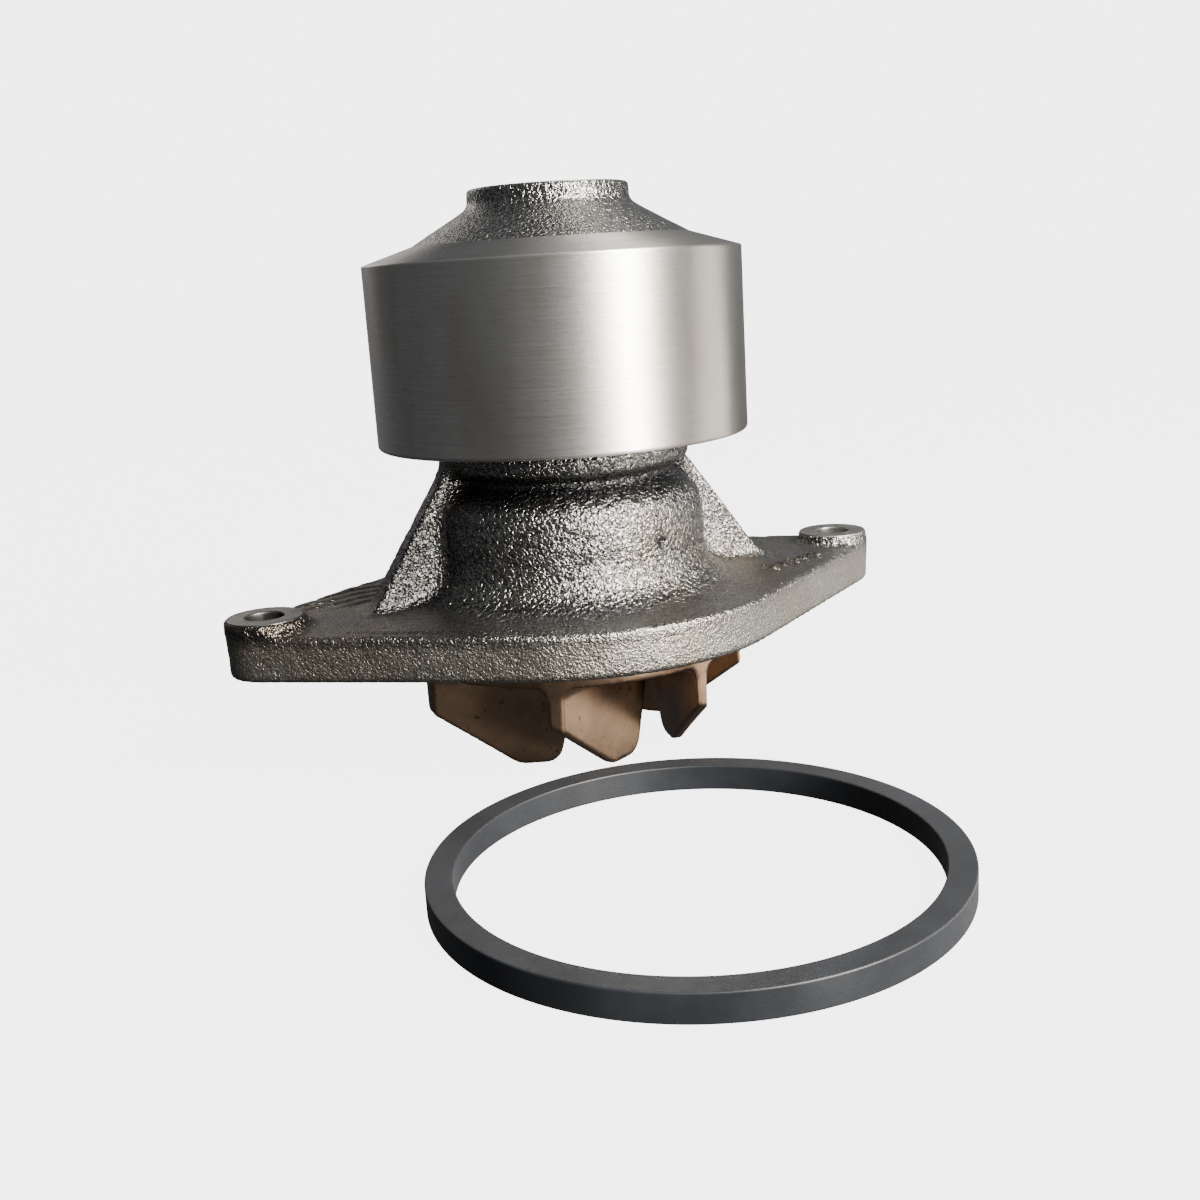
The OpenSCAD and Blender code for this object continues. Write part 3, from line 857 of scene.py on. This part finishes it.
def dress_nodes():
    """Gives the CAD nodes inside the pump their materials."""
    for name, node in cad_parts.items():
        material = NODE_MATERIALS.get(name)
        if material is None and name.startswith(("ball_", "roller_")):
            material = BEARING
        if material is None:
            continue
        for i in range(len(node.material_slots)):
            node.material_slots[i].material = material


# ---------------------------------------------------------------- floor, light and camera

CAMERA_AT = Vector((-129.1, -320.0, 88.9))
CAMERA_AZIMUTH = math.radians(23.07)
CAMERA_PITCH = math.radians(13.62)
CAMERA_ROLL = math.radians(-3.52)
CAMERA_LENS = 41.27
# Bearing of the camera from the shaft axis
CAMERA_SIDE = math.atan2(CAMERA_AT.y, CAMERA_AT.x)
# Brightness that the camera sees in the floor and in the paper behind it
FLOOR_GLOW = 4.6
BACKDROP = 4.65
# Brightness of the room from its light side to its dark side, which lies this far to the camera's left
ROOM_STOPS = [(0.0, 0.58), (0.40, 0.34), (0.66, 0.20), (1.0, 0.15)]
ROOM_TINT = (0.96, 0.98, 1.02)
DARK_SIDE = math.radians(115)
# Colour of the lamps, and for each its name, bearing from the camera in degrees to the right, distance,
# height, size and power, in metres and watts
WARM = (1.0, 0.94, 0.86)
LAMPS = [
    ("key_right", 44, 0.72, 0.47, (0.32, 0.36), 42),
    ("low_right", 43, 0.95, 0.09, (0.19, 0.12), 18),
    ("side_right", 102, 0.80, 0.02, (0.40, 0.07), 1.6),
    ("blade_right", 102, 0.34, -0.10, (0.30, 0.08), 0.24),
    ("back_left", -150, 0.80, 0.36, (0.40, 0.30), 0.8),
    ("top_soft", 110, 0.30, 0.95, (0.8, 0.8), 1),
]
LAMP_AIM = Vector((0, 0, 0.03))


def build_camera():
    """Camera at the photograph's viewing angle."""
    lens = bpy.data.cameras.new("camera")
    lens.lens = CAMERA_LENS
    lens.sensor_width = 36
    lens.clip_start = 0.01
    camera = bpy.data.objects.new("camera", lens)
    turn = Matrix.Rotation(-CAMERA_AZIMUTH, 4, "Z") @ Matrix.Rotation(math.pi / 2 - CAMERA_PITCH, 4, "X")
    turn = turn @ Matrix.Rotation(CAMERA_ROLL, 4, "Z")
    camera.matrix_world = Matrix.Translation(CAMERA_AT * MM) @ turn
    bpy.context.scene.collection.objects.link(camera)
    bpy.context.scene.camera = camera


def build_stage():
    """Pale glowing floor that only the camera sees, and that is clear from below.

    Lamps below it shine through, so that they can light the blades' sides as pale paper would.
    """
    floor_z = min(TIP_Z, RING_LOW[2]) * MM
    bpy.ops.mesh.primitive_plane_add(size=60, location=(0, 0, floor_z - 0.0001))
    floor = bpy.context.object
    floor.name = "floor"
    m = Nodes("floor_paper", Specular_IOR_Level=0.0, Base_Color=(0.05, 0.05, 0.05, 1), Roughness=0.9,
              Emission_Color=(1, 1, 1, 1), Emission_Strength=FLOOR_GLOW)
    from_below = m.add("ShaderNodeNewGeometry").outputs["Backfacing"]
    clear = m.add("ShaderNodeBsdfTransparent").outputs[0]
    one_sided = m.add("ShaderNodeMixShader", Fac=from_below, i1=m.shader.outputs[0], i2=clear)
    m.put(one_sided.outputs[0], m.tree.nodes["Material Output"].inputs["Surface"])
    floor.data.materials.append(m.material)
    floor.visible_glossy = False
    floor.visible_diffuse = False
    floor.visible_shadow = False


def build_lamp(name, turn, distance, height, size, power):
    """Area lamp at this bearing from the camera, aimed at the pump and hidden from the camera."""
    lamp = bpy.data.lights.new(name, "AREA")
    lamp.shape = "RECTANGLE"
    lamp.size, lamp.size_y = size
    lamp.energy = power
    lamp.color = WARM
    thing = bpy.data.objects.new(name, lamp)
    bearing = CAMERA_SIDE + math.radians(turn)
    thing.location = (distance * math.cos(bearing), distance * math.sin(bearing), height)
    thing.visible_camera = False
    thing.rotation_euler = (LAMP_AIM - thing.location).to_track_quat("-Z", "Y").to_euler()
    bpy.context.scene.collection.objects.link(thing)


def build_room():
    """World light that comes from the right and above; the camera sees plain paper instead."""
    world = bpy.data.worlds.new("studio")
    bpy.context.scene.world = world
    world.use_nodes = True
    tree = world.node_tree
    add = tree.nodes.new
    link = tree.links.new
    direction = add("ShaderNodeTexCoord").outputs["Generated"]
    side = add("ShaderNodeVectorMath")
    side.operation = "DOT_PRODUCT"
    link(direction, side.inputs[0])
    dark = CAMERA_SIDE - DARK_SIDE
    side.inputs[1].default_value = (0.9 * math.cos(dark), 0.9 * math.sin(dark), -0.5)
    spread = add("ShaderNodeMapRange")
    spread.inputs["From Min"].default_value = -1.0
    link(side.outputs["Value"], spread.inputs["Value"])
    shade = add("ShaderNodeValToRGB")
    shade.color_ramp.interpolation = "EASE"
    set_stops(shade.color_ramp, [(at, [level * tint for tint in ROOM_TINT]) for at, level in ROOM_STOPS])
    link(spread.outputs["Result"], shade.inputs["Fac"])
    room = tree.nodes["Background"]
    link(shade.outputs["Color"], room.inputs["Color"])
    # The room is dimmer below the horizon
    split = add("ShaderNodeSeparateXYZ")
    link(direction, split.inputs[0])
    rise = add("ShaderNodeMapRange")
    rise.inputs["From Min"].default_value = -0.30
    rise.inputs["From Max"].default_value = 0.15
    rise.inputs["To Min"].default_value = 0.42
    link(split.outputs["Z"], rise.inputs["Value"])
    link(rise.outputs["Result"], room.inputs["Strength"])
    paper = add("ShaderNodeBackground")
    paper.inputs["Color"].default_value = (1, 1, 1, 1)
    paper.inputs["Strength"].default_value = BACKDROP
    choose = add("ShaderNodeMixShader")
    link(add("ShaderNodeLightPath").outputs["Is Camera Ray"], choose.inputs["Fac"])
    link(room.outputs[0], choose.inputs[1])
    link(paper.outputs[0], choose.inputs[2])
    link(choose.outputs[0], tree.nodes["World Output"].inputs["Surface"])


build_camera()
build_stage()
build_room()
for lamp_facts in LAMPS:
    build_lamp(*lamp_facts)
build_housing()
build_pulley()
build_shaft()
build_impeller()
build_ring()
dress_nodes()
